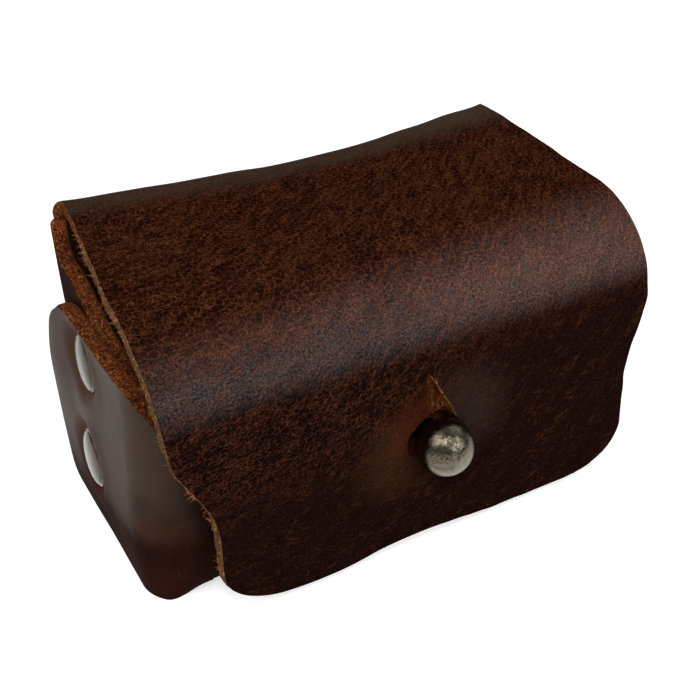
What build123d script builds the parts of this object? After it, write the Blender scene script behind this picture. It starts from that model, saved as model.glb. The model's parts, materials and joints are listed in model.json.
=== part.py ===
from build123d import *
import os
from math import asin, atan2, cos, degrees, hypot, radians, sin, sqrt, tan

# Leather headphone carrying case. One cut hide is folded into a pouch: floor, front wall with
# an outer wing at each end, back wall with an inner wing at each end, and a flap that runs
# over the top and down the front. Double-cap rivets hold the wings, and a ball stud on the
# front wall buttons through a keyhole in the flap's front leaf.
#
# Millimetres. X runs along the width, -Y is the front, +Z is up. The origin is the middle of
# the floor's underside. The hide is one piece cut into panels at its folds, because it bends
# there.

# ---- hide and pouch
LEATHER = 2.4             # thickness of the hide
CASE_WIDTH = 86.0         # over the outer wings
CASE_DEPTH = 40.4         # front face to back face
CORNER_RADIUS = 4.8       # outside radius of the pouch's folded corners
FLOOR_SIDE_GAP = 0.1      # between the floor's cut edge and the inner wing
WING_REAR_GAP = 1.4       # outer wing's rear edge, short of the back face
WING_REAR_ROUND = 14.0    # outer wing's upper rear corner
WING_HEEL_ROUND = 2.5     # outer wing's lower rear corner
INNER_WING_REACH = 30.0   # inner wing, back face to its hidden front edge
INNER_WING_DROP = 0.3     # inner wing's level top edge, below the outer wing's
INNER_WING_REAR_DROP = 0.9  # inner wing's top at the back corner, below the flap's hinge
INNER_WING_SLOPE_RUN = 9.5  # length over which its top edge comes down
INNER_WING_ROUND = 5.0    # inner wing's hidden front corners

# ---- flap
TOP_HEIGHT = 49.6         # top of the flap's back fold, at its corners
BACK_SAG = 1.7            # the fold's middle, below its corners
MOUTH_DROP = 12.1         # outer wings' cut edge, below the flap's top
FRONT_WALL_DROP = 7.0     # front wall's cut edge, below the outer wings'; rounds their front corners
BACK_FOLD_RADIUS = 3.4    # outside radius of the back fold, about the flap's hinge line
BACK_FOLD_TAIL = 20.0     # degrees that the fold reaches below its hinge line
TOP_SLOPE = 7.0           # degrees that the top panel's sides fall towards the front
SHOULDER_RADIUS = 17.0    # outside radius of the bend into the front leaf
LEAF_REACH = 6.5          # leaf's outer face ahead of the front wall, at the stud
LEAF_TILT = 1.6           # degrees that the leaf leans out at its hem
LEAF_HEM_HEIGHT = 1.6     # leaf's lower edge above the ground
FLAP_BACK_WIDTH = 76.0    # at the back fold
FLAP_FRONT_WIDTH = 81.4   # at the shoulder
LEAF_LOW_WIDTH = 71.2     # below the step in the leaf's sides
STEP_HEIGHT = 24.1        # middle of the step in the leaf's sides
STEP_SPAN = 7.0           # height that its slant takes
STEP_ROUND = 9.0          # radius of both turns of the step, or as much as its slant holds
HEM_CORNER_RADIUS = 7.5   # leaf's lower corners
FOLD_CLEARANCE = 0.35     # between the flap and what it turns past

# ---- ball stud and its keyhole
STUD_HEIGHT = 19.4        # above the ground
BALL_DIAMETER = 8.8
BALL_PROUD = 2.5          # ball's centre ahead of the leaf's outer face
NECK_DIAMETER = 4.0
STUD_FLANGE_DIAMETER = 9.0
STUD_FLANGE_THICKNESS = 1.3
SPIGOT_DIAMETER = 4.4     # stud's root, in the front wall's hole
SPIGOT_LENGTH = 1.9
SCREW_DIAMETER = 3.0
SCREW_LENGTH = 6.0        # under the head
SCREW_TIP_ROOM = 0.5      # bore left beyond the screw's tip
SCREW_HEAD_DIAMETER = 9.0
SCREW_HEAD_THICKNESS = 1.2
SCREW_SLOT_WIDTH = 1.1
SCREW_SLOT_DEPTH = 0.6
KEYHOLE_CLEARANCE = 0.4   # round the neck
SEAT_CLEARANCE = 0.3      # round the ball, in its dished seat
SLIT_LENGTH = 11.0        # from the stud's centre up
SLIT_WIDTH = 0.8

# ---- double-cap rivets
RIVET_SETBACK = 16.0      # back face to the rivets' line
RIVET_LOW_HEIGHT = 12.8
RIVET_PITCH = 17.4        # lower rivet to upper rivet
CAP_DIAMETER = 9.6
CAP_RIM = 0.3
CAP_RISE = 1.3
CAP_SINK = 0.8            # depth that the outer cap presses into the hide
POST_DIAMETER = 3.2
POST_BORE = 2.0
BACK_CAP_DIAMETER = 8.0
BACK_CAP_RIM = 0.3
BACK_CAP_RISE = 0.8
BACK_CAP_SINK = 0.4
PIN_LENGTH = 2.8
FIT = 0.05                # all round, between metal that is pressed or screwed together
HOLE_FIT = 0.1            # all round, between metal and its hole in the hide

# ---- places that follow from the sizes
FRONT = -CASE_DEPTH / 2
BACK = CASE_DEPTH / 2
HALF_WIDTH = CASE_WIDTH / 2
INNER_HALF_WIDTH = HALF_WIDTH - LEATHER
POUCH_HALF_WIDTH = INNER_HALF_WIDTH - LEATHER
BEND_INSIDE = CORNER_RADIUS - LEATHER
HINGE_Y = BACK - BACK_FOLD_RADIUS
HINGE_Z = TOP_HEIGHT - BACK_FOLD_RADIUS
SAG_RADIUS = ((FLAP_BACK_WIDTH / 2) ** 2 + BACK_SAG ** 2) / (2 * BACK_SAG)
SAG_CENTRE = HINGE_Z - BACK_SAG + SAG_RADIUS
WING_HEIGHT = TOP_HEIGHT - MOUTH_DROP
LEAF_FACE = FRONT - LEAF_REACH
BALL_Y = LEAF_FACE - BALL_PROUD
RIVET_Y = BACK - RIVET_SETBACK
RIVET_HEIGHTS = {"lower": RIVET_LOW_HEIGHT, "upper": RIVET_LOW_HEIGHT + RIVET_PITCH}
SIDES = {"left": -1, "right": 1}


def ring_sector(inside, outside, start, end):
    """Face between two arcs about the origin, from one angle to another."""
    outer = CenterArc((0, 0), outside, start, end - start)
    inner = CenterArc((0, 0), inside, start, end - start)
    return make_face([outer, inner, Line(outer @ 0, inner @ 0), Line(outer @ 1, inner @ 1)])


def sheet_strip(start, end, thickness_step):
    """Face of a straight strip of hide, from its outer face and the step through it."""
    corners = [start, end, end + thickness_step, start + thickness_step]
    return make_face(Polyline(*corners, close=True))


def across(sketch, half_width):
    """Solid of a side-view sketch, whose x is Y and whose y is Z, carried over the width."""
    return extrude(Plane.YZ * sketch, half_width, both=True)


def along_the_sag(sketch, half_width):
    """Solid of a side-view sketch drawn at the flap's rear corners, carried over the width along
    the arc that the back fold sags in."""
    axis = Axis((0, 0, SAG_CENTRE), (0, 1, 0))
    turn = degrees(asin(half_width / SAG_RADIUS))
    middle = Plane.YZ * (Pos(0, -BACK_SAG) * sketch)
    return revolve(middle, axis, revolution_arc=2 * turn).rotate(axis, -turn)


def rounded_outline(corners):
    """Face through (point, radius) corners, each rounded to its radius where that is set."""
    face = make_face(Polyline(*[point for point, _ in corners], close=True))
    for point, radius in corners:
        if radius:
            corner = face.vertices().sort_by_distance((*point, 0))[0]
            face = fillet(corner, radius)
    return face


def along_y(radius, near, far, height):
    """Round bar on the stud's axis between two places along Y."""
    bar = Cylinder(radius, abs(far - near), rotation=(90, 0, 0))
    return Pos(0, (near + far) / 2, height) * bar


def on_side(part, side, distance, y, z):
    """Puts a part made on +Z against a side wall, facing outwards."""
    return Pos(side * distance, y, z) * Rot(0, side * 90, 0) * part


# ---------------------------------------------------------------- pouch panels
def floor_panel():
    """Flat floor between the front and back bends."""
    width = 2 * (POUCH_HALF_WIDTH - FLOOR_SIDE_GAP)
    depth = CASE_DEPTH - 2 * CORNER_RADIUS
    return Pos(0, 0, LEATHER / 2) * Box(width, depth, LEATHER)


def front_wall():
    """Front wall with the bend up from the floor and the stud's hole."""
    bend = ring_sector(BEND_INSIDE, CORNER_RADIUS, 180, 270)
    face = Pos(FRONT + CORNER_RADIUS, CORNER_RADIUS) * bend
    rise = WING_HEIGHT - FRONT_WALL_DROP - CORNER_RADIUS
    face += Pos(FRONT + LEATHER / 2, CORNER_RADIUS + rise / 2) * Rectangle(LEATHER, rise)
    wall = across(face, HALF_WIDTH - CORNER_RADIUS)
    hole = along_y(SPIGOT_DIAMETER / 2 + HOLE_FIT, FRONT - LEATHER, FRONT + 2 * LEATHER, STUD_HEIGHT)
    return wall - hole


def hinge_room(half_width):
    """Space that the flap's back fold turns in: round, and open above its centre."""
    radius = BACK_FOLD_RADIUS + FOLD_CLEARANCE
    room = Circle(radius) + Pos(0, radius / 2) * Rectangle(2 * radius, radius)
    return along_the_sag(Pos(HINGE_Y, HINGE_Z) * room, half_width)


def back_wall():
    """Back wall with the bend up from the floor, cut back at the top for the flap's fold."""
    bend = ring_sector(BEND_INSIDE, CORNER_RADIUS, 270, 360)
    face = Pos(BACK - CORNER_RADIUS, CORNER_RADIUS) * bend
    rise = HINGE_Z - CORNER_RADIUS
    face += Pos(BACK - LEATHER / 2, CORNER_RADIUS + rise / 2) * Rectangle(LEATHER, rise)
    return across(face, INNER_HALF_WIDTH - CORNER_RADIUS) - hinge_room(HALF_WIDTH)


def wing(side, half_width, bend_y, bend_start, end_y, outline):
    """Side wing: a bend out of the wall at bend_y, then a flat plate that ends at end_y."""
    bend = ring_sector(BEND_INSIDE, CORNER_RADIUS, bend_start, bend_start + 90)
    face = Pos(side * (half_width - CORNER_RADIUS), bend_y) * bend
    plate = Rectangle(LEATHER, abs(end_y - bend_y))
    face += Pos(side * (half_width - LEATHER / 2), (bend_y + end_y) / 2) * plate
    return extrude(face, TOP_HEIGHT) & across(outline, CASE_WIDTH)


def rivet_holes(side):
    """Post holes through a side's two wings."""
    bar = Cylinder(POST_DIAMETER / 2 + HOLE_FIT, 4 * LEATHER)
    return [on_side(bar, side, INNER_HALF_WIDTH, RIVET_Y, z) for z in RIVET_HEIGHTS.values()]


def outer_wing(side):
    """Wing from the front wall, with rounded ends and the sunk seats of the caps."""
    rear = BACK - WING_REAR_GAP
    outline = rounded_outline([
        ((FRONT, 0), CORNER_RADIUS),
        ((rear, 0), WING_HEEL_ROUND),
        ((rear, WING_HEIGHT), WING_REAR_ROUND),
        ((FRONT, WING_HEIGHT), FRONT_WALL_DROP),
    ])
    start = 180 if side < 0 else 270
    plate = wing(side, HALF_WIDTH, FRONT + CORNER_RADIUS, start, rear, outline)
    seat = Cylinder(CAP_DIAMETER / 2 + HOLE_FIT, 2 * CAP_SINK)
    seats = [on_side(seat, side, HALF_WIDTH, RIVET_Y, z) for z in RIVET_HEIGHTS.values()]
    return plate - seats - rivet_holes(side)


def inner_wing(side):
    """Wing from the back wall, inside the outer one, higher at the back corner."""
    level = WING_HEIGHT - INNER_WING_DROP
    end = BACK - INNER_WING_REACH
    rear_top = HINGE_Z - INNER_WING_REAR_DROP
    slope_end = BACK - CORNER_RADIUS - INNER_WING_SLOPE_RUN
    outline = rounded_outline([
        ((BACK, 0), CORNER_RADIUS),
        ((BACK, rear_top), 0),
        ((BACK - CORNER_RADIUS, rear_top), 0),
        ((slope_end, level), 0),
        ((end, level), INNER_WING_ROUND),
        ((end, 0), INNER_WING_ROUND),
    ])
    start = 90 if side < 0 else 0
    plate = wing(side, INNER_HALF_WIDTH, BACK - CORNER_RADIUS, start, end, outline)
    seat = Cylinder(BACK_CAP_DIAMETER / 2 + HOLE_FIT, 2 * BACK_CAP_SINK)
    seats = [on_side(seat, side, POUCH_HALF_WIDTH, RIVET_Y, z) for z in RIVET_HEIGHTS.values()]
    room = hinge_room(FLAP_BACK_WIDTH / 2 + 2 * FOLD_CLEARANCE)
    return plate - seats - rivet_holes(side) - room


# ---------------------------------------------------------------- flap
TOP_NORMAL = Vector(-sin(radians(TOP_SLOPE)), cos(radians(TOP_SLOPE)))
TOP_RUN = Vector(-cos(radians(TOP_SLOPE)), -sin(radians(TOP_SLOPE)))
LEAF_NORMAL = Vector(-cos(radians(LEAF_TILT)), sin(radians(LEAF_TILT)))
LEAF_RUN = Vector(-sin(radians(LEAF_TILT)), -cos(radians(LEAF_TILT)))
HINGE = Vector(HINGE_Y, HINGE_Z)
SHOULDER_START = 90 + TOP_SLOPE
SHOULDER_END = 180 - LEAF_TILT
SHOULDER_MIDDLE = (SHOULDER_START + SHOULDER_END) / 2


def shoulder_centre():
    """Centre of the shoulder's bend, placed so that the leaf passes the stud at its reach."""
    near = HINGE + TOP_NORMAL * (BACK_FOLD_RADIUS - SHOULDER_RADIUS)
    leaf_at_stud = Vector(LEAF_FACE, STUD_HEIGHT)
    short = (leaf_at_stud - near).dot(LEAF_NORMAL) - SHOULDER_RADIUS
    return near + TOP_RUN * (short / TOP_RUN.dot(LEAF_NORMAL))


SHOULDER = shoulder_centre()
SHOULDER_OUT = Vector(cos(radians(SHOULDER_MIDDLE)), sin(radians(SHOULDER_MIDDLE)))
BEND_LINE = SHOULDER + SHOULDER_OUT * SHOULDER_RADIUS
BEND_SLOT = degrees(FOLD_CLEARANCE / SHOULDER_RADIUS)
SLANT_SHARE = 0.95


def shoulder_part(start, end):
    """Part of the shoulder's bend between two angles, in side view."""
    bend = ring_sector(SHOULDER_RADIUS - LEATHER, SHOULDER_RADIUS, start, end)
    return Pos(SHOULDER.X, SHOULDER.Y) * bend


def sagging_line(height):
    """Arc over the width in the plane of the fold's top, height above the hinge line."""
    radius = SAG_RADIUS - height
    ends = [(x, SAG_CENTRE - sqrt(radius ** 2 - x ** 2)) for x in (-HALF_WIDTH, HALF_WIDTH)]
    return Plane.XZ.offset(-HINGE_Y) * ThreePointArc(ends[0], (0, SAG_CENTRE - radius), ends[1])


def top_panel():
    """Top between the back fold and the shoulder: it sags with the fold and is level across its
    front, so it is carried from one end's section to the other's."""
    upper = sagging_line(BACK_FOLD_RADIUS)
    lower = sagging_line(BACK_FOLD_RADIUS - LEATHER)
    rear = make_face([upper, lower, Line(upper @ 0, lower @ 0), Line(upper @ 1, lower @ 1)])
    end = SHOULDER + TOP_NORMAL * SHOULDER_RADIUS
    below = end - TOP_NORMAL * LEATHER
    corners = [(-HALF_WIDTH, end), (HALF_WIDTH, end), (HALF_WIDTH, below), (-HALF_WIDTH, below)]
    front = make_face(Polyline(*[(x, place.X, place.Y) for x, place in corners], close=True))
    return loft([rear, front], ruled=True)


def flap_top():
    """Top panel with the back fold and the upper half of the shoulder, wider at the front."""
    inside = BACK_FOLD_RADIUS - LEATHER
    fold = ring_sector(inside, BACK_FOLD_RADIUS, -BACK_FOLD_TAIL, 90)
    solid = along_the_sag(Pos(HINGE_Y, HINGE_Z) * fold, HALF_WIDTH)
    solid += top_panel()
    bend = shoulder_part(SHOULDER_START, SHOULDER_MIDDLE - BEND_SLOT / 2)
    solid += across(bend, HALF_WIDTH)
    back, front = FLAP_BACK_WIDTH / 2, FLAP_FRONT_WIDTH / 2
    corners = [(back, BACK), (back, HINGE_Y), (front, SHOULDER.X), (front, 2 * LEAF_FACE)]
    mirrored = [(-x, y) for x, y in reversed(corners)]
    plan = make_face(Polyline(*corners, *mirrored, close=True))
    return solid & extrude(plan, 2 * TOP_HEIGHT)


def keyhole():
    """Neck hole, slit above it and the dished seat of the ball, as a cutting tool."""
    behind, ahead = FRONT, BALL_Y
    hole = along_y(NECK_DIAMETER / 2 + KEYHOLE_CLEARANCE, behind, ahead, STUD_HEIGHT)
    slit = Box(SLIT_WIDTH, behind - ahead, SLIT_LENGTH, align=(Align.CENTER, Align.CENTER, Align.MIN))
    seat = Sphere(BALL_DIAMETER / 2 + SEAT_CLEARANCE)
    return [hole, Pos(0, (behind + ahead) / 2, STUD_HEIGHT) * slit, Pos(0, BALL_Y, STUD_HEIGHT) * seat]


def step_round(inset):
    """Radius of the step's two turns: each takes less than half of the slant between them."""
    half_slant = hypot(inset, STEP_SPAN) / 2
    turn = atan2(inset, STEP_SPAN)
    return min(STEP_ROUND, SLANT_SHARE * half_slant / tan(turn / 2))


def flap_front():
    """Front leaf: the shoulder's lower half and a panel stepped in at its sides."""
    hem = SHOULDER + LEAF_NORMAL * SHOULDER_RADIUS
    hem += LEAF_RUN * ((hem.Y - LEAF_HEM_HEIGHT) / cos(radians(LEAF_TILT)))
    face = sheet_strip(SHOULDER + LEAF_NORMAL * SHOULDER_RADIUS, hem, LEAF_NORMAL * -LEATHER)
    face += shoulder_part(SHOULDER_MIDDLE + BEND_SLOT / 2, SHOULDER_END)
    wide, narrow = FLAP_FRONT_WIDTH / 2, LEAF_LOW_WIDTH / 2
    turn_radius = step_round(wide - narrow)
    right = [
        ((wide, TOP_HEIGHT), 0),
        ((wide, STEP_HEIGHT + STEP_SPAN / 2), turn_radius),
        ((narrow, STEP_HEIGHT - STEP_SPAN / 2), turn_radius),
        ((narrow, LEAF_HEM_HEIGHT), HEM_CORNER_RADIUS),
    ]
    left = [((-x, z), radius) for (x, z), radius in reversed(right)]
    outline = extrude(Plane.XZ * rounded_outline(right + left), 2 * CASE_DEPTH)
    return (across(face, HALF_WIDTH) & outline) - keyhole()


# ---------------------------------------------------------------- metal parts
def stud_ball():
    """Ball with its neck, the flange on the front wall and a bored root for the screw."""
    foot = FRONT - STUD_FLANGE_THICKNESS
    root = FRONT + SPIGOT_LENGTH
    body = Pos(0, BALL_Y, STUD_HEIGHT) * Sphere(BALL_DIAMETER / 2)
    body += along_y(NECK_DIAMETER / 2, BALL_Y, foot, STUD_HEIGHT)
    body += along_y(STUD_FLANGE_DIAMETER / 2, foot, FRONT, STUD_HEIGHT)
    body += along_y(SPIGOT_DIAMETER / 2, foot, root, STUD_HEIGHT)
    bore_end = FRONT + LEATHER - SCREW_LENGTH - SCREW_TIP_ROOM
    return body - along_y(SCREW_DIAMETER / 2 + FIT, bore_end, root, STUD_HEIGHT)


def stud_screw():
    """Slotted flat-head screw, from inside the front wall into the stud."""
    seat = FRONT + LEATHER
    top = seat + SCREW_HEAD_THICKNESS
    body = along_y(SCREW_HEAD_DIAMETER / 2, seat, top, STUD_HEIGHT)
    body += along_y(SCREW_DIAMETER / 2, seat - SCREW_LENGTH, seat, STUD_HEIGHT)
    slot = Box(SCREW_HEAD_DIAMETER, 2 * SCREW_SLOT_DEPTH, SCREW_SLOT_WIDTH)
    return body - Pos(0, top, STUD_HEIGHT) * slot


def domed_cap(radius, rim, rise):
    """Round cap on the XY plane: a plain rim with a dome above it."""
    dome = TangentArc((0, rim + rise), (radius, rim), tangent=(1, 0))
    foot = Polyline((radius, rim), (radius, 0), (0, 0), (0, rim + rise))
    return revolve(Plane.XZ * make_face([*foot.edges(), dome]), Axis.Z)


def rivet_cap(side, height):
    """Outer cap with its tubular post through both wings."""
    seat = HALF_WIDTH - CAP_SINK
    length = seat - (POUCH_HALF_WIDTH + BACK_CAP_SINK) - FIT
    post = Pos(0, 0, -length / 2) * Cylinder(POST_DIAMETER / 2, length)
    cap = domed_cap(CAP_DIAMETER / 2, CAP_RIM, CAP_RISE)
    bore = Cylinder(POST_BORE / 2, PIN_LENGTH + FIT, align=(Align.CENTER, Align.CENTER, Align.MIN))
    bore = Pos(0, 0, -length) * bore
    return on_side(cap + post - bore, side, seat, RIVET_Y, height)


def rivet_back(side, height):
    """Inner cap with the pin that is driven into the post."""
    seat = POUCH_HALF_WIDTH + BACK_CAP_SINK
    cap = domed_cap(BACK_CAP_DIAMETER / 2, BACK_CAP_RIM, BACK_CAP_RISE)
    pin = Cylinder(POST_BORE / 2 - FIT, PIN_LENGTH, align=(Align.CENTER, Align.CENTER, Align.MAX))
    return on_side(cap + pin, -side, -seat, RIVET_Y, height)


# ---------------------------------------------------------------- the whole case
def parts():
    """Every node of the case by name."""
    made = {
        "floor_panel": floor_panel(),
        "front_wall": front_wall(),
        "back_wall": back_wall(),
        "flap_top": flap_top(),
        "flap_front": flap_front(),
        "stud_ball": stud_ball(),
        "stud_screw": stud_screw(),
    }
    for name, side in SIDES.items():
        made[f"outer_wing_{name}"] = outer_wing(side)
        made[f"inner_wing_{name}"] = inner_wing(side)
        for level, height in RIVET_HEIGHTS.items():
            made[f"rivet_cap_{name}_{level}"] = rivet_cap(side, height)
            made[f"rivet_back_{name}_{level}"] = rivet_back(side, height)
    return made


os.makedirs("parts", exist_ok=True)
for node, solid in parts().items():
    export_step(solid, f"parts/{node}.step")
print(f"flap hinge line: y {HINGE_Y:.2f}, z {HINGE_Z:.2f}")
print(f"leaf bend line: y {BEND_LINE.X:.2f}, z {BEND_LINE.Y:.2f}")
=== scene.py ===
import json
from math import cos, pi, radians, sin

import bpy
import numpy as np
from numpy import concatenate as join
from numpy import clip, dstack, exp, hypot, linspace, maximum, minimum, sqrt, stack, where
from mathutils import Matrix, Vector


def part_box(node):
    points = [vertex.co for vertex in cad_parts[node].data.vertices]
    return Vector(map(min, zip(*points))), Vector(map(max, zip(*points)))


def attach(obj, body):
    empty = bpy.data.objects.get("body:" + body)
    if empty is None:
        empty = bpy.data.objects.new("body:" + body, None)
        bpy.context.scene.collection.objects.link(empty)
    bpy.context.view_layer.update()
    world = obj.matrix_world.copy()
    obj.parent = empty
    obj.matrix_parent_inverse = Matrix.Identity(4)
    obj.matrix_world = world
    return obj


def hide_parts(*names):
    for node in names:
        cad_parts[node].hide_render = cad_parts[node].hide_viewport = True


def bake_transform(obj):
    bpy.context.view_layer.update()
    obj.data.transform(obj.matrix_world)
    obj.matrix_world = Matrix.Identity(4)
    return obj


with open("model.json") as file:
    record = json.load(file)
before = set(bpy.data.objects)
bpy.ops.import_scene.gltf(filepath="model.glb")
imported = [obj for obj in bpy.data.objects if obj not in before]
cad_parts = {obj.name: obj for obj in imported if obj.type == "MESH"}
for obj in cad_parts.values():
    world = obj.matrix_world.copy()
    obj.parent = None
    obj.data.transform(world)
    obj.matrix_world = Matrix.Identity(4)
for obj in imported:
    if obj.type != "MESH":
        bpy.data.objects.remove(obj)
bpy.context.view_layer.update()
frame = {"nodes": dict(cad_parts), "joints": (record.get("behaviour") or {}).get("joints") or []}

# ---------------- pouch floor
# The case is one hide of thick pull-up leather, cut as a cross and folded. Its floor is the middle
# of the cross, grain side down, with the bends that turn up into the front and the back wall.
# All hide is worked out in millimetres and goes into the meshes in metres.
MM = 0.001


def box_mm(node):
    """Lowest and highest corner of a construction node, in millimetres."""
    return [np.array(corner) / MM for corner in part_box(node)]


floor_low, floor_high = box_mm("floor_panel")
wall_low, wall_high = box_mm("front_wall")
back_high = box_mm("back_wall")[1]
THICK = floor_high[2] - floor_low[2]
FRONT, BACK = wall_low[1], back_high[1]
BEND = floor_low[1] - FRONT

EDGE_TURNS = 7        # rows of faces across a cut edge
FIBRE_SIDES, FIBRE_JOINTS = 3, 5
NET_KNOTS = 128       # random heights each way
FLESH_SHIFT = 300.0   # flesh side's place on the flat map, beyond the grain side's


def smooth(value, low, high):
    """0 below low, 1 above high, and between them a level-ended curve: three times the square of
    the share of the way, less twice its cube."""
    t = clip((value - low) / (high - low), 0, 1)
    return t * t * (3 - 2 * t)


def wander(u, v, size, seed):
    """Smooth random height from -1 to 1: random values on a square net, size mm apart, joined by
    curves that are level at each knot."""
    net = np.random.default_rng(seed).uniform(-1, 1, (NET_KNOTS, NET_KNOTS))
    a, b = (np.asarray(part) / size + NET_KNOTS / 2 for part in (u, v))
    i, j = np.floor(a).astype(int), np.floor(b).astype(int)
    s, t = smooth(a - i, 0, 1), smooth(b - j, 0, 1)
    i, j = i % (NET_KNOTS - 1), j % (NET_KNOTS - 1)
    low = net[i, j] * (1 - s) + net[i + 1, j] * s
    high = net[i, j + 1] * (1 - s) + net[i + 1, j + 1] * s
    return low * (1 - t) + high * t


def spaced(start, end, count, dense_at, width, gain, ends=0.0):
    """Places from start to end, closer together near each place in dense_at and near both ends:
    the running total of a density curve, cut into equal shares."""
    fine = linspace(start, end, 4000)
    density = np.ones_like(fine)
    for place in dense_at:
        density += gain * exp(-((fine - place) / width) ** 2)
    density += ends * exp(-(fine - start) ** 2) + ends * exp(-(fine - end) ** 2)
    total = join([[0], np.cumsum((density[1:] + density[:-1]) / 2)])
    return np.interp(linspace(0, total[-1], count), total, fine)


def unit(vectors):
    """Vectors scaled to length 1."""
    return vectors / maximum(np.linalg.norm(vectors, axis=-1, keepdims=True), 1e-9)


def fibres(points, normals, outward, along, flat, count, reach, seed):
    """Loose fibres on a cut edge: thin three-sided hairs, each a parabola that starts inside the
    edge, leans outwards and droops, with its own length and turn. Returns points, flats, quads
    and end triangles."""
    rng = np.random.default_rng(seed)
    tuft = clip(wander(flat[:, 0], flat[:, 1], 1.6, seed + 3) + 0.25, 0.02, 1) ** 2
    pick = rng.choice(len(points), count, p=tuft / tuft.sum())
    depth = rng.uniform(0.05, 0.95, (count, 1))
    length = reach * rng.gamma(2.2, 0.45, (count, 1))
    radius = rng.uniform(0.035, 0.07, (count, 1))
    slip = rng.uniform(-0.25, 0.25, (count, 1))
    root = points[pick] - normals[pick] * THICK * depth + along[pick] * slip - outward[pick] * 0.15
    lean = rng.normal(0, 0.75, (count, 1)) * along[pick] + rng.normal(0, 0.45, (count, 1)) * normals[pick]
    aim = unit(outward[pick] * rng.uniform(0.25, 1.0, (count, 1)) + lean)
    curl = unit(rng.normal(0, 1, (count, 3))) * length * 0.7
    steps = linspace(0, 1, FIBRE_JOINTS)[:, None, None]
    spine = root + aim * length * steps + curl * steps ** 2
    side = unit(np.cross(aim, rng.normal(0, 1, (count, 3))))
    top = np.cross(aim, side)
    taper = radius * (1 - 0.65 * steps)
    turns = [2 * pi * k / FIBRE_SIDES for k in range(FIBRE_SIDES)]
    rings = stack([spine + (side * cos(a) + top * sin(a)) * taper for a in turns], axis=2)
    ids = np.arange(rings.size // 3).reshape(FIBRE_JOINTS, count, FIBRE_SIDES)
    near, far = ids[:-1], ids[1:]
    quads = stack([near, np.roll(near, -1, 2), np.roll(far, -1, 2), far], axis=-1).reshape(-1, 4)
    caps = join([ids[0][:, ::-1], ids[-1]])
    shade = rng.uniform(0, 60, (count, 2))
    flats = np.broadcast_to(shade[None, :, None, :], rings.shape[:3] + (2,))
    return rings.reshape(-1, 3), flats.reshape(-1, 2), quads, caps


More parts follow.
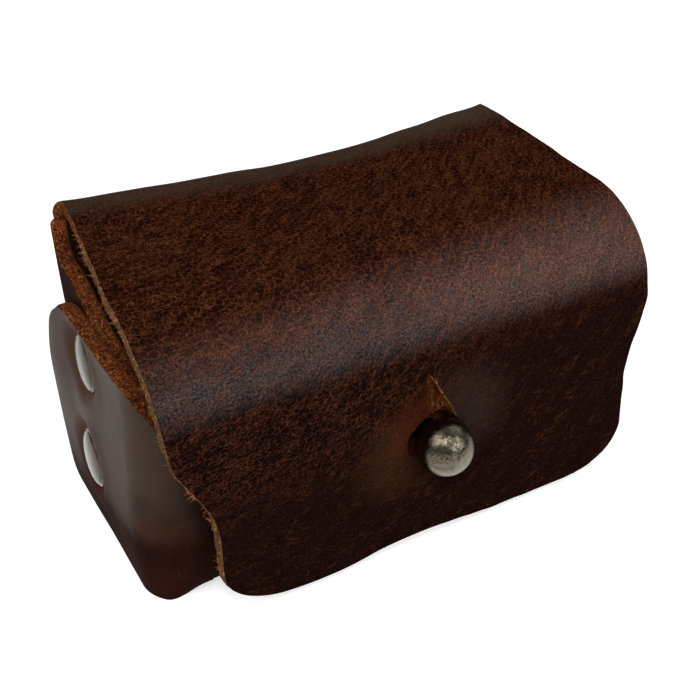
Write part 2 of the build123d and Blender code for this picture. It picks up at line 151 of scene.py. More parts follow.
def hide_sheet(name, face, flat, finishes, seam, hairs, reach, seed, slit=None, torn=None, torn_hairs=0,
               bald=None):
    """Closed sheet of hide from the grid of its grain face, rows by columns.

    Each point's normal is the mean of the faces round it. The flesh face lies one thickness below.
    Wherever the grain face ends, a strip of rows joins the two: it bellies outwards as a half
    sine and is roughened, except on a seam, where the next sheet goes on. A slit is a column that is
    doubled over some rows, so that the sheet is open there. flat gives each point's place on the
    uncut hide in mm, and becomes its UV. torn marks grain points that carry loose fibres too, and
    bald edge points that carry none."""
    rows, cols = face.shape[:2]
    ids = np.arange(rows * cols).reshape(rows, cols)
    if slit:
        column, doubled = slit
        ids[:, column + 1] = where(doubled, ids[:, column + 1], ids[:, column])
    quads = dstack([ids[:-1, :-1], ids[:-1, 1:], ids[1:, 1:], ids[1:, :-1]])
    if slit:
        quads = np.delete(quads, column, axis=1)
    kept, quads = np.unique(quads.reshape(-1, 4), return_inverse=True)
    quads = quads.reshape(-1, 4)
    points, flats = face.reshape(-1, 3)[kept], flat.reshape(-1, 2)[kept]
    plain = seam.reshape(-1)[kept]

    turn = np.cross(points[quads[:, 2]] - points[quads[:, 0]], points[quads[:, 3]] - points[quads[:, 1]])
    normals = np.zeros_like(points)
    for k in range(4):
        np.add.at(normals, quads[:, k], turn)
    normals = unit(normals)
    inner = points - normals * THICK

    count = len(points)
    sides = join([quads[:, [k, (k + 1) % 4]] for k in range(4)])
    one_way = sides[:, 0] * count + sides[:, 1]
    rim = sides[~np.isin(one_way, sides[:, 1] * count + sides[:, 0])]
    step = unit(points[rim[:, 1]] - points[rim[:, 0]])
    flat_step = flats[rim[:, 1]] - flats[rim[:, 0]]
    outward, along, flat_out = np.zeros_like(points), np.zeros_like(points), np.zeros_like(flats)
    for k in (0, 1):
        np.add.at(outward, rim[:, k], np.cross(step, normals[rim[:, k]]))
        np.add.at(along, rim[:, k], step)
        np.add.at(flat_out, rim[:, k], stack([flat_step[:, 1], -flat_step[:, 0]], axis=1))
    outward, along, flat_out = unit(outward), unit(along), unit(flat_out)

    border = np.unique(rim)
    order = np.full(count, -1)
    order[border] = np.arange(len(border))
    free = (~plain[border]).astype(float)[:, None]
    shares = linspace(0, 1, EDGE_TURNS + 1)[1:-1]
    strip, strip_flat = [], []
    for share in shares:
        lump = wander(flats[border, 0] * 1.3 + 31 * share, flats[border, 1] * 1.3 + 17 * share, 0.8, seed + 7)
        lump += 0.6 * wander(flats[border, 0] + 91 * share, flats[border, 1] - 57 * share, 0.35, seed + 8)
        belly = 0.16 * sin(pi * share) ** 0.6 + 0.2 * lump * sin(pi * share) ** 0.5
        below = points[border] - normals[border] * THICK * share
        strip.append(below + outward[border] * belly[:, None] * free)
        strip_flat.append(flats[border] + flat_out[border] * THICK * share)

    parts = [points, inner] + strip
    flat_parts = [flats, flats + FLESH_SHIFT] + strip_flat
    levels = [border] + [2 * count + len(border) * k + np.arange(len(border)) for k in range(len(shares))]
    levels.append(count + border)
    a, b = order[rim[:, 0]], order[rim[:, 1]]
    edge_quads = [stack([near[b], near[a], far[a], far[b]], axis=1)
                  for near, far in zip(levels, levels[1:])]
    quads_all = [quads, quads[:, ::-1] + count] + edge_quads
    slots = [np.zeros(len(quads)), np.full(len(quads), 2)] + [np.ones(len(q)) for q in edge_quads]

    loose = border[~plain[border] & ~(plain if bald is None else bald.reshape(-1)[kept])[border]]
    growths = [(loose, normals[loose], outward[loose], along[loose], hairs, reach, seed)]
    if torn_hairs:
        bare = np.flatnonzero(torn.reshape(-1)[kept])
        ways = np.tile([[0.3, 0.0, -0.3]], (len(bare), 1))
        growths.append((bare, ways * 0.3, normals[bare], ways * 2, torn_hairs, reach * 0.8, seed + 40))
    triangles = []
    for at, *ways, amount, length, draw in growths:
        hair, hair_flat, hair_quads, caps = fibres(points[at], *ways, flats[at], amount, length, draw)
        start = sum(len(part) for part in parts)
        parts.append(hair)
        flat_parts.append(hair_flat)
        quads_all.append(hair_quads + start)
        slots.append(np.full(len(hair_quads), 3))
        triangles.append(caps + start)
    triangles = join(triangles)
    all_points, all_flats = join(parts), join(flat_parts)
    all_points[:, 2] = maximum(all_points[:, 2], 0.0)
    four = join(quads_all)

    mesh = bpy.data.meshes.new(name)
    corners = join([four.reshape(-1), triangles.reshape(-1)]).astype(np.int32)
    starts = join([np.arange(len(four)) * 4, len(four) * 4 + np.arange(len(triangles)) * 3])
    mesh.vertices.add(len(all_points))
    mesh.vertices.foreach_set("co", (all_points * MM).astype(np.float32).reshape(-1))
    mesh.loops.add(len(corners))
    mesh.loops.foreach_set("vertex_index", corners)
    mesh.polygons.add(len(starts))
    mesh.polygons.foreach_set("loop_start", starts.astype(np.int32))
    slot_list = join(slots + [np.full(len(triangles), 3)]).astype(np.int32)
    for finish in finishes:
        mesh.materials.append(finish)
    mesh.polygons.foreach_set("material_index", minimum(slot_list, len(finishes) - 1))
    mesh.polygons.foreach_set("use_smooth", np.ones(len(starts), bool))
    mesh.uv_layers.new(name="hide").data.foreach_set("uv", all_flats[corners].astype(np.float32).reshape(-1))
    mesh.update(calc_edges=True)
    ends = np.empty(len(mesh.edges) * 2, np.int32)
    mesh.edges.foreach_get("vertices", ends)
    ends = np.sort(ends.reshape(-1, 2).astype(np.int64), axis=1)
    creases = np.sort(join([rim, rim + count]), axis=1)
    crisp = np.isin(*(pairs[:, 0] * len(all_points) + pairs[:, 1] for pairs in (ends, creases)))
    mesh.attributes.new("sharp_edge", "BOOLEAN", "EDGE").data.foreach_set("value", crisp)
    mesh.validate()
    return link_new(name, mesh)


def link_new(name, data):
    """New object in the scene for a mesh, a lamp or a camera."""
    made = bpy.data.objects.new(name, data)
    bpy.context.scene.collection.objects.link(made)
    return made


def feed(socket, value):
    """Gives a socket a wire or a constant."""
    if isinstance(value, Wire):
        socket.id_data.links.new(value.socket, socket)
    else:
        socket.default_value = value


class Wire:
    """One socket of a material. Sums on wires add Math nodes, and add() makes any other node."""

    def __init__(self, socket):
        self.socket = socket

    @staticmethod
    def add(tree, kind, sockets=None, settings=None, out=0):
        """Node of one kind: its settings first, then a value or a wire for each named socket."""
        node = tree.nodes.new("ShaderNode" + kind)
        for key, value in (settings or {}).items():
            setattr(node, key, value)
        for key, value in (sockets or {}).items():
            feed(node.inputs[key], value)
        return Wire(node.outputs[out])

    def more(self, kind, sockets, settings=None, out=0):
        """Node in this wire's own tree."""
        return Wire.add(self.socket.id_data, kind, sockets, settings, out)

    def operator(operation, swapped=False):
        """Method that adds a Math node to this wire and another wire or number."""
        def apply(self, other=0.0):
            first, second = (other, self) if swapped else (self, other)
            return self.more("Math", {0: first, 1: second}, {"operation": operation})
        return apply

    __add__, __radd__ = operator("ADD"), operator("ADD", True)
    __sub__, __rsub__ = operator("SUBTRACT"), operator("SUBTRACT", True)
    __mul__, __rmul__ = operator("MULTIPLY"), operator("MULTIPLY", True)
    __truediv__, __rtruediv__ = operator("DIVIDE"), operator("DIVIDE", True)
    __abs__ = operator("ABSOLUTE")

    def rise(self, low, high):
        """0 below low, 1 above high, and a smooth step between; low may be the larger one."""
        return self.more("MapRange",
                         {"Value": self, "From Min": low, "From Max": high},
                         {"interpolation_type": "SMOOTHSTEP"})

    def thread(self, wide, full):
        """1 along the middle level of a noise, which winds like a thread, and 0 further off."""
        return abs(self - 0.5).rise(wide, full)

    def mix(self, low, high):
        """Mixes two colours, each a wire or linear values, by this share from 0 to 1."""
        node = self.socket.id_data.nodes.new("ShaderNodeMix")
        node.data_type = "RGBA"
        feed(node.inputs[0], self)
        for index, colour in ((6, low), (7, high)):
            feed(node.inputs[index], colour if isinstance(colour, Wire) else (*colour, 1))
        return Wire(node.outputs[2])

    def vector(self, operation, other, out=0):
        """Vector Math of this wire and another wire or vector."""
        return self.more("VectorMath", {0: self, 1: other}, {"operation": operation}, out)

    def noise(self, scale, detail=3.0, rough=0.55, warp=0.0):
        """Cloudy noise from 0 to 1 over this place, scale per mm."""
        return self.more("TexNoise", {"Vector": self, "Scale": scale, "Detail": detail,
                                      "Roughness": rough, "Distortion": warp})

    def cracks(self, scale, width, shake=0.35):
        """Network of fine lines over this place, 1 on a line: the borders of random cells, shaken
        by noise."""
        shaken = self.more("TexNoise", {"Vector": self, "Scale": scale * 1.7, "Detail": 2.0}, out=1)
        moved = shaken.vector("SUBTRACT", (0.5, 0.5, 0.5)).vector("MULTIPLY", (shake / scale,) * 3)
        border = self.more("TexVoronoi", {"Vector": self.vector("ADD", moved), "Scale": scale},
                           {"feature": "DISTANCE_TO_EDGE", "voronoi_dimensions": "2D"})
        return border.rise(width, 0.0)

    def near(self, spot, full, fade):
        """1 within full minus fade mm of a spot, 0 beyond full, and a smooth step between."""
        return self.vector("DISTANCE", spot, out=1).rise(full, full - fade)


def paint(red, green, blue):
    """Colour from 0-255 screen values, as the linear values that shaders take."""
    shares = (c / 255 for c in (red, green, blue))
    return tuple(((c + 0.055) / 1.055) ** 2.4 if c > 10 / 255 else c / 12.92 for c in shares)


def blank_finish(name, specular, metallic=0.0):
    """New material, its node tree and its shader, whose constant sockets are set here."""
    material = bpy.data.materials.new(name)
    material.use_nodes = True
    shader = material.node_tree.nodes["Principled BSDF"]
    shader.inputs["Specular IOR Level"].default_value = specular
    shader.inputs["Metallic"].default_value = metallic
    return material, material.node_tree, shader


def dress(tree, shader, colour, rough, bumps):
    """Puts colour, roughness and a chain of bumps, each (height, depth in mm), on the shader."""
    sockets = {}
    for height, depth in bumps:
        sockets = {"Height": height, "Strength": 1.0, "Distance": depth * MM, **sockets}
        sockets = {"Normal": Wire.add(tree, "Bump", sockets)}
    for key, value in (("Base Color", colour), ("Roughness", rough), *sockets.items()):
        feed(shader.inputs[key], value)


def wear(tree, waxed, wax):
    """Mixes the waxed shader, by wax, with a dry one of the same colour, roughness and bump."""
    dry = tree.nodes.new("ShaderNodeBsdfPrincipled")
    dry.inputs["Specular IOR Level"].default_value = 0.0
    for key in ("Base Color", "Roughness", "Normal"):
        tree.links.new(waxed.inputs[key].links[0].from_socket, dry.inputs[key])
    mix = Wire.add(tree, "MixShader", {0: wax, 1: Wire(dry.outputs[0]), 2: Wire(waxed.outputs[0])})
    feed(tree.nodes["Material Output"].inputs["Surface"], mix)


def hide_place(tree):
    """Place on the uncut hide in mm: the vector, and its two parts, across and along."""
    place = Wire.add(tree, "UVMap", settings={"uv_map": "hide"})
    across = place.more("SeparateXYZ", {0: place})
    return place, across, Wire(across.socket.node.outputs[1])


def stretched(across, along, wide, tall, shift=0.0):
    """Place with its two parts scaled apart, for marks that are longer one way."""
    return across.more("CombineXYZ", {0: across * wide, 1: along * tall, 2: shift})


def lay(tone, *coats):
    """Lays coats of colour over a tone in turn, each given as its share and its colour."""
    for share, colour in coats:
        tone = share.mix(tone, colour)
    return tone


def suede_finish(name, base, dark, light):
    """Raw leather: matt, clumped fibres in three tones, with pits between them."""
    material, tree, shader = blank_finish(name, 0.15)
    place, across, along = hide_place(tree)
    clumps = place.noise(1.2, 4.0, 0.72, 0.6)
    nap = stretched(across, along, 1.0, 0.6).noise(3.6, 3.0, 0.75, 1.5)
    pits = place.noise(2.0, 3.0, 0.6, 0.4).rise(0.52, 0.40)
    tone = lay(dark, (clumps.rise(0.40, 0.60), base), (nap.rise(0.50, 0.62) * 0.85, light),
               (pits * 0.6, tuple(c * 0.4 for c in dark)))
    dress(tree, shader, tone, 0.93, [(clumps, 0.6), (nap - pits * 0.8, 0.4)])
    return material


def smooth_grain(name, rivets=()):
    """Grain side of the pouch: waxed smooth and greyer high up, where the grey is a painted sheen
    that fades out towards the foot and the front; redder and drier at the foot, near the front and
    round the rivets, which are given as spots on the hide."""
    material, tree, shader = blank_finish(name, 0.11)
    place, across, along = hide_place(tree)
    cloud = place.noise(0.09, 3.0, 0.55)
    pores = place.noise(3.2, 3.0, 0.65)
    lines = place.cracks(1.3, 0.07) * place.noise(0.16, 2.0).rise(0.48, 0.70)
    # The grey is a painted sheen high on the walls, fading out towards the foot and the front; it also sets
    # the wax.
    grey = (along + cloud * 14.0 - 6.0 - abs(across) * 0.25).rise(FOOT, FOOT + 15)
    tone = lay(POUCH_DARK, (cloud.rise(0.35, 0.7), POUCH_RED), (grey, POUCH_GREY))
    pressed = 0.0
    for spot in rivets:
        pressed = place.near(spot, 8.6, 4.0) * (cloud.rise(0.25, 0.6) * 0.5 + 0.5) + pressed
    if rivets:
        tone = lay(tone, (pressed * 0.8, POUCH_RIM))
    tone = lay(tone, (lines * 0.5, POUCH_LINE), (pores.rise(0.55, 0.8) * 0.4, POUCH_LINE))
    dress(tree, shader, tone, 0.48 + cloud * 0.12, [(cloud, 0.25), (pores - lines * 0.6, 0.04)])
    wear(tree, shader, (grey * 0.85 + 0.15) * (1 - pressed * 0.6))
    return material


FOOT = 200.0           # front wall's foot on the flat map, clear of the flap's part
FLOOR_SHIFT = 120.0    # floor's part of the map
POUCH_RED, POUCH_RIM = paint(48, 20, 12), paint(80, 38, 22)
POUCH_DARK, POUCH_GREY, POUCH_LINE = paint(34, 14, 9), paint(64, 47, 36), paint(96, 68, 50)
SUEDE, SUEDE_DARK, SUEDE_LIGHT = paint(158, 67, 20), paint(64, 18, 6), paint(232, 156, 82)
flesh = suede_finish("hide_flesh", paint(112, 66, 38), paint(70, 38, 20), paint(150, 100, 64))
cut_edge = suede_finish("hide_cut_edge", SUEDE, SUEDE_DARK, SUEDE_LIGHT)
fibre = suede_finish("hide_fibre", paint(196, 134, 74), SUEDE, paint(232, 184, 128))
pouch_grain = smooth_grain("hide_pouch_grain")
POUCH = [pouch_grain, cut_edge, flesh, fibre]


EAR = 3.0              # the pouch's front corners close over this much of the bend's ends
across_floor = linspace(floor_low[0], floor_high[0], 90)
bend_length = BEND * pi / 2
flat_length = floor_high[1] - floor_low[1]
run = join([linspace(0, bend_length, 12), bend_length + linspace(0, flat_length, 30)[1:],
            bend_length + flat_length + linspace(0, bend_length, 12)[1:]])
front_turn = clip(run / BEND, 0, pi / 2)
back_turn = clip((run - bend_length - flat_length) / BEND, 0, pi / 2)
straight = clip(run - bend_length, 0, flat_length)
floor_y = floor_low[1] - BEND * np.cos(front_turn) + straight + BEND * np.sin(back_turn)
floor_z = BEND * (1 - np.sin(front_turn)) + BEND * (1 - np.cos(back_turn))
u, v = np.meshgrid(across_floor, run)
u = u * (1 - EAR / floor_high[0] * smooth(v, bend_length + 5, bend_length))
face = dstack(np.broadcast_arrays(u, floor_y[:, None], floor_z[:, None]))
flat = dstack([u, v + FLOOR_SHIFT])
seam = (v == run[0]) | (v == run[-1])
floor_sheet = hide_sheet("pouch_floor", face[::-1], flat[::-1], POUCH, seam=seam[::-1], hairs=120, reach=0.3,
                         seed=11)
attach(floor_sheet, "case")
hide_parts("floor_panel")

# ---------------- front wall and outer wings
# The front wall turns up from the floor and ends in two wings that fold back round the pouch's
# sides. The rivets press dimples into the wings, and the thick hide swells ahead of them.
wing_low, wing_high = box_mm("outer_wing_left")
cap_boxes = [box_mm("rivet_cap_left_" + level) for level in ("lower", "upper")]
cap_low, cap_high = cap_boxes[0]
HALF = -wing_low[0]
MOUTH = wing_high[2] - 1.2
WALL_EDGE = wall_high[2] - 0.3
WING_REAR = wing_high[1]
CORNER = 7.2           # bend round the pouch's front corners
WING_ROUND = 14.0      # upper rear corner of the wing
WING_HEEL = 2.5
CAP = (cap_high[2] - cap_low[2]) / 2
RIVET_Y = (cap_low[1] + cap_high[1]) / 2
RIVET_Z = [(low[2] + high[2]) / 2 for low, high in cap_boxes]
DIMPLE = 1.0           # depth of a rivet's dimple


def lean(z):
    """How far the wings stand outwards at a height: full above the floor, drawn in at the mouth."""
    bulge = where(z < 11, 1.0 - 0.45 * ((11 - z) / 11) ** 2, exp(-((z - 11) / 9) ** 2))
    return bulge - 0.35 * smooth(z, 20, 32)


def wings_and_wall(half_path, half_wall, count):
    """Path along one wing, over the wall and back along the other wing: half a path, count places
    over the wall, and the first half mirrored. Returns its length, its places, how far each is
    from the nearer end, and its side, -1 or 1."""
    whole = 2 * (half_path[-1] + half_wall)
    over_wall = half_path[-1] + linspace(0, 2 * half_wall, count)[1:-1]
    path = join([half_path, over_wall, (whole - half_path)[::-1]])
    return whole, path, minimum(path, whole - path), where(path < whole / 2, -1.0, 1.0)


half_front = HALF - CORNER
corner_length = CORNER * pi / 2
side_run = WING_REAR - (FRONT + CORNER)
rear_part = WING_ROUND * (1 - np.cos(linspace(0, pi / 2, 26)))
half_path = join([rear_part, linspace(WING_ROUND, side_run, 44)[1:],
                  side_run + linspace(0, corner_length, 34)[1:]])
whole, path, mirrored, side = wings_and_wall(half_path, half_front, 130)
turn = clip((mirrored - side_run) / CORNER, 0, pi / 2)
on_wall = clip(mirrored - side_run - corner_length, 0, half_front)
plan_x = side * (half_front + CORNER * np.cos(turn) - on_wall)
plan_y = WING_REAR - minimum(mirrored, side_run) - CORNER * np.sin(turn)
out_x, out_y = side * np.cos(turn), -np.sin(turn)

heel = clip(plan_y - (WING_REAR - WING_HEEL), 0, WING_HEEL)
lower = WING_HEEL - sqrt(WING_HEEL ** 2 - heel ** 2) + BEND * smooth(on_wall, 0, EAR)
rear = clip(plan_y - (WING_REAR - WING_ROUND), 0, WING_ROUND)
rear_line = MOUTH + 1.9 - WING_ROUND + sqrt(WING_ROUND ** 2 - rear ** 2)
upper = -0.5 * np.log(exp(-2 * (rear_line - MOUTH)) + 1) + MOUTH
upper = upper - (MOUTH - WALL_EDGE) * smooth(turn, 0.17, 1.31)
upper = upper + 0.14 * wander(path, 0, 5.0, 21)
t = linspace(0, 1, 84)[:, None]
z = lower + (upper - lower) * t
y = np.broadcast_to(plan_y, z.shape)
on_side = 1 - smooth(turn, 0.1, 1.5)
lift = lean(z) * on_side
lift += 0.45 * exp(-((y - RIVET_Y) / 5) ** 2 - ((z - sum(RIVET_Z) / 2) / 4.0) ** 2) * on_side
for rivet_z in RIVET_Z:
    away = hypot(y - RIVET_Y, z - rivet_z)
    ahead = smooth(RIVET_Y - y, -1, 4)
    firm = smooth(upper - z, 0.0, 3.2)
    lift -= DIMPLE * firm * (1 - smooth(away, CAP - 0.9, CAP + 3.0 - 1.2 * ahead))
    lift += 0.35 * ahead * exp(-((away - CAP - 2.2) / 1.7) ** 2) * firm
lift += 0.9 * smooth(y, 9, WING_REAR - 2) * smooth(z, 12, 26)
lift += (0.10 * wander(y, z, 9.0, 22)
         - 0.1 * wander(plan_x, z, 11.0, 23) * smooth(turn, 0.5, 1.5))
roll = BEND - sqrt(BEND ** 2 - clip(BEND - z, 0, BEND) ** 2)
lift -= roll * smooth(turn, 0.7, 1.65) * 0.97
x = plan_x + out_x * lift
y = plan_y + out_y * lift + 0.5 * smooth(y, 8, WING_REAR) * exp(-((z - 19) / 9) ** 2)
face = dstack([x, y, z])
flat = dstack(np.broadcast_arrays(path, z + FOOT))
seam = (t == 0) & (on_wall >= EAR)
rivet_spots = [(along, FOOT + height, 0.0) for along in (WING_REAR - RIVET_Y, whole - WING_REAR + RIVET_Y)
               for height in RIVET_Z]
wing_grain = smooth_grain("hide_wing_grain", rivet_spots)
front_sheet = hide_sheet("pouch_front_and_wings", face, flat, [wing_grain] + POUCH[1:], seam=seam,
                         hairs=1500, reach=0.3, seed=12)
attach(front_sheet, "case")
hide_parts("front_wall", "outer_wing_left", "outer_wing_right")

# ---------------- back wall and inner wings
# The back wall turns up from the floor, and its own wings fold forwards inside the outer ones.
# Above them it narrows at a notch on each side and goes on as the flap.
inner_low = box_mm("inner_wing_left")[0]
INNER_HALF = -inner_low[0]
INNER_END = inner_low[1]
INNER_ROUND = 5.0
flap_high = box_mm("flap_top")[1]
pivots = {joint["name"]: np.array(joint["pos_m"]) / MM for joint in frame["joints"]}
hinge = pivots["flap_hinge"]
FOLD_ROOM = 0.6        # straight hide between the notch and the start of the fold
NOTCH = hinge[2] - FOLD_ROOM
FOLD_RADIUS = flap_high[1] - hinge[1]
FLAP_BACK_HALF = 38.0
NOTCH_HALF = 39.6      # the flap's cut sides splay to this at the notches
LEVEL_TOP = MOUTH - 0.3
REAR_RISE = 5.0        # how far the inner wings' tops climb towards the flap
BOW, SAG = 1.3, 1.7    # of the back fold's middle


def settle(points):
    """The hide gives between its two rear corners: a bow towards the front and a sag, both
    parabolas over the width, greatest at the back fold and fading downwards and forwards."""
    middle = clip(1 - (points[..., 0] / FLAP_BACK_HALF) ** 2, 0, 1)
    high = smooth(points[..., 2], 8, hinge[2] + 1)
    moved = points.copy()
    moved[..., 1] -= BOW * middle * high * smooth(points[..., 1], -8, BACK - 2)
    back = smooth(points[..., 2], 34, hinge[2])
    moved[..., 2] -= SAG * middle * back * smooth(points[..., 1], -15, BACK - 3)
    corner = back * smooth(points[..., 1], 4, BACK - 3)
    left, right = smooth(-points[..., 0], -2, 16), smooth(points[..., 0], 29, 38)
    moved[..., 2] += corner * (0.75 * left - 0.35 * right)
    return moved


def corner_swell(y, z, turn):
    """The rear corners push outwards under the fold: a bump over the bend, from half way up."""
    return 0.35 * exp(-((turn - 0.5) / 0.6) ** 2) * smooth(z, 20, 40) * smooth(y, 11, 16)


half_back = INNER_HALF - BEND
inner_run = (BACK - BEND) - INNER_END
notch_at = inner_run + bend_length + half_back - NOTCH_HALF
half_path = join([INNER_ROUND * (1 - np.cos(linspace(0, pi / 2, 14))),
                  linspace(INNER_ROUND, inner_run, 44)[1:],
                  linspace(inner_run, notch_at - 0.12, 14)[1:],
                  linspace(notch_at, inner_run + bend_length, 14)])
whole, path, mirrored, side = wings_and_wall(half_path, half_back, 120)
turn = clip((mirrored - inner_run) / BEND, 0, pi / 2)
plan_x = side * (half_back + BEND * np.cos(turn) - clip(mirrored - inner_run - bend_length, 0, half_back))
plan_y = INNER_END + minimum(mirrored, inner_run) + BEND * np.sin(turn)
front_gap = clip(INNER_END + INNER_ROUND - plan_y, 0, INNER_ROUND)
rounding = INNER_ROUND - sqrt(INNER_ROUND ** 2 - front_gap ** 2)
lower = BEND * (1 - np.cos(turn)) + rounding
wing_top = LEVEL_TOP - 2.3 * smooth(plan_y, 4, -9) + REAR_RISE * smooth(plan_y, 1.5, 16)
wing_top = wing_top + (NOTCH + 0.7 - LEVEL_TOP - REAR_RISE) * smooth(plan_y, 14.6, 17.6)
in_notch = abs(path - whole / 2) <= NOTCH_HALF + 0.05
upper = where(in_notch, NOTCH, wing_top) - rounding
upper = upper + 0.12 * wander(path, 0, 4.0, 33) * ~in_notch
t = linspace(0, 1, 70)[:, None]
z = lower + (upper - lower) * t
on_wing = 1 - smooth(turn, 0, pi / 2)
lift = lean(z) * on_wing * (1 - smooth(plan_y, 9, 17))
lift = lift + corner_swell(plan_y, z, turn)
lift += 0.12 * wander(plan_x, z, 12.0, 31) * (1 - on_wing) * smooth(NOTCH - z, 0, 4)
x, y = plan_x + side * np.cos(turn) * lift, plan_y + np.sin(turn) * lift
face = settle(dstack([x, y, z]))
flat = dstack(np.broadcast_arrays(path - whole / 2, z - NOTCH))
seam = ((t == 0) & (turn == pi / 2)) | ((t == 1) & in_notch)
back_sheet = hide_sheet("pouch_back_and_inner_wings", face[:, ::-1], flat[:, ::-1], POUCH, seam=seam[:, ::-1],
                        hairs=1200, reach=0.4, seed=13)
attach(back_sheet, "case")
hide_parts("back_wall", "inner_wing_left", "inner_wing_right")

# ---------------- flap: back fold
# The flap is the back wall going on over the top. It turns forwards in a tight fold that the
# maker has burnished smooth, and the fold's grey band is a painted reflection.
bend_line = pivots["leaf_bend"]
TOP_SLOPE, LEAF_TILT = 7.0, 1.6
SHOULDER = 17.0
HEM = box_mm("flap_front")[0][2]
FLAP_SEAM_Y = 9.0

top_normal = np.array([-sin(radians(TOP_SLOPE)), cos(radians(TOP_SLOPE))])
top_run = np.array([-cos(radians(TOP_SLOPE)), -sin(radians(TOP_SLOPE))])
middle_turn = radians(90 + (TOP_SLOPE + 90 - LEAF_TILT) / 2)
shoulder = bend_line[1:] - SHOULDER * np.array([cos(middle_turn), sin(middle_turn)])
fold_end = hinge[1:] + top_normal * FOLD_RADIUS
shoulder_start = shoulder + top_normal * SHOULDER
FOLD_ARC = radians(90 + TOP_SLOPE) * FOLD_RADIUS
TOP_FLAT = float(np.dot(shoulder_start - fold_end, top_run))
SHOULDER_ARC = radians(90 - TOP_SLOPE - LEAF_TILT) * SHOULDER
leaf_start = shoulder + SHOULDER * np.array([cos(radians(180 - LEAF_TILT)), sin(radians(180 - LEAF_TILT))])
LEAF_LENGTH = (leaf_start[1] - HEM) / cos(radians(LEAF_TILT))
V_FOLD = FOLD_ROOM
V_TOP = V_FOLD + FOLD_ARC
V_SHOULDER = V_TOP + TOP_FLAT
V_LEAF = V_SHOULDER + SHOULDER_ARC
V_HEM = V_LEAF + LEAF_LENGTH
fine_v = linspace(0, V_HEM + 2, 6000)
heading = radians(90) + radians(90 + TOP_SLOPE) * clip((fine_v - V_FOLD) / FOLD_ARC, 0, 1)
heading += radians(90 - TOP_SLOPE - LEAF_TILT) * clip((fine_v - V_SHOULDER) / SHOULDER_ARC, 0, 1)
steps = np.diff(fine_v, prepend=0)
line_y = BACK + np.cumsum(np.cos(heading) * steps)
line_z = NOTCH + np.cumsum(np.sin(heading) * steps)


def flap_line(v):
    """Side view of the flap's grain face at a distance from the notch: y, z and the outward
    normal, from a heading that turns evenly through the fold and through the shoulder."""
    y, z, way = (np.interp(v, fine_v, line) for line in (line_y, line_z, heading))
    return y, z, np.sin(way), -np.cos(way)


def half_width(v, left):
    """Half of the flap's width: it flares to the notches, widens towards the shoulder, steps in by
    an S-curve half way down the leaf, and ends in elliptical corners at the hem."""
    up = V_HEM - v
    shoulder_half, low_half = where(left, 41.0, 40.15), where(left, 35.35, 35.9)
    wide = FLAP_BACK_HALF + (shoulder_half - FLAP_BACK_HALF) * smooth(v, V_TOP - 6, V_SHOULDER + 8)
    wide = wide + (NOTCH_HALF - FLAP_BACK_HALF) * (1 - smooth(v, 1.2, 5.6))
    wide = wide - where(left, 0.3, 1.05) * smooth(v, V_SHOULDER + 12, V_LEAF + 5)
    wide = wide - where(left, 0.0, 0.7) * smooth(v, 2, 6) * (1 - smooth(v, 7, 19))
    step = smooth(up, 15.6, 30.4)
    half = low_half + (wide - low_half) * step
    below = clip(1 - up / 7.6, 0, 1)
    half = half - 11.0 * (1 - sqrt(1 - below ** 2))
    return half + 0.10 * wander(v, left * 50, 2.6, 41) * smooth(v, 0, 3)


def flap_face(s, v):
    """Grain face of the flap at a share s of its half width, from -1 to 1, and a distance v:
    the side view carried over the width and round the rear corners, then moved by unevenness."""
    left = s < 0
    u = s * where(left, half_width(v, True), half_width(v, False))
    hem_rise = 1.2 * exp(-((u + 3) / 10) ** 2) - 0.3 * exp(-((u + 18) / 5) ** 2)
    hem_rise = hem_rise + 0.2 * exp(-((u + 29) / 5) ** 2)
    y, z, ny, nz = flap_line(v - hem_rise * smooth(v, V_HEM - 14, V_HEM))
    over_top = smooth(v, V_TOP + 2, V_TOP + 12) * (1 - smooth(v, V_SHOULDER + 6, V_SHOULDER + 20))
    quiet = smooth(v, 0, 3) * smooth(abs(v - V_CUT), 0, 3)
    lift = -0.5 * smooth(u, 30, 40) * over_top
    lift += (0.16 * wander(u, v, 13.0, 42) + 0.08 * wander(u, v, 5.0, 43)) * quiet
    lift += 0.05 * wander(u, v, 2.1, 44) * quiet * smooth(v, V_TOP, V_TOP + 6)
    full = clip((abs(u) - half_back) / BEND, 0, 1)
    corner = full * (1 - smooth(v, 0, V_TOP))
    swell = corner_swell(BACK, NOTCH, pi / 2 - full) * (1 - smooth(v, 0, V_TOP + 2))
    y = y - BEND * (1 - np.cos(corner)) + np.cos(corner) * swell
    u_shown = np.sign(u) * (abs(u) - BEND * (corner - np.sin(corner)) + np.sin(corner) * swell)
    points = dstack([u_shown, y + ny * lift, z + nz * lift])
    return settle(points), u


V_CUT = V_TOP + (fold_end[0] - FLAP_SEAM_Y) / cos(radians(TOP_SLOPE))
rows = join([linspace(0, V_FOLD, 3), V_FOLD + linspace(0, FOLD_ARC, 22)[1:],
             linspace(V_TOP, V_CUT, 18)[1:]])
half_columns = spaced(0, 1, 88, dense_at=(0, 1), width=0.14, gain=2.0)
s, v = np.meshgrid(join([-half_columns[:0:-1], half_columns]), rows)
face, u = flap_face(s, v)
flat = dstack([u, v])
seam = (v == rows[0]) | (v == rows[-1])
STUD_HEIGHT = 19.4     # stud's centre above the ground
HOLE = 2.4             # radius of the hole at the foot of the slit
SLIT_LENGTH = 11.0
TEAR_LEAD = 1.2        # the grain is torn this far above the slit
V_STUD = V_HEM - (STUD_HEIGHT - HEM) / cos(radians(LEAF_TILT))
V_APEX = V_STUD - SLIT_LENGTH - TEAR_LEAD
TEAR_TOP, TEAR_WIDE, TEAR_RUN = -1.2, 5.0, 10.0    # its left side, and how it widens downwards


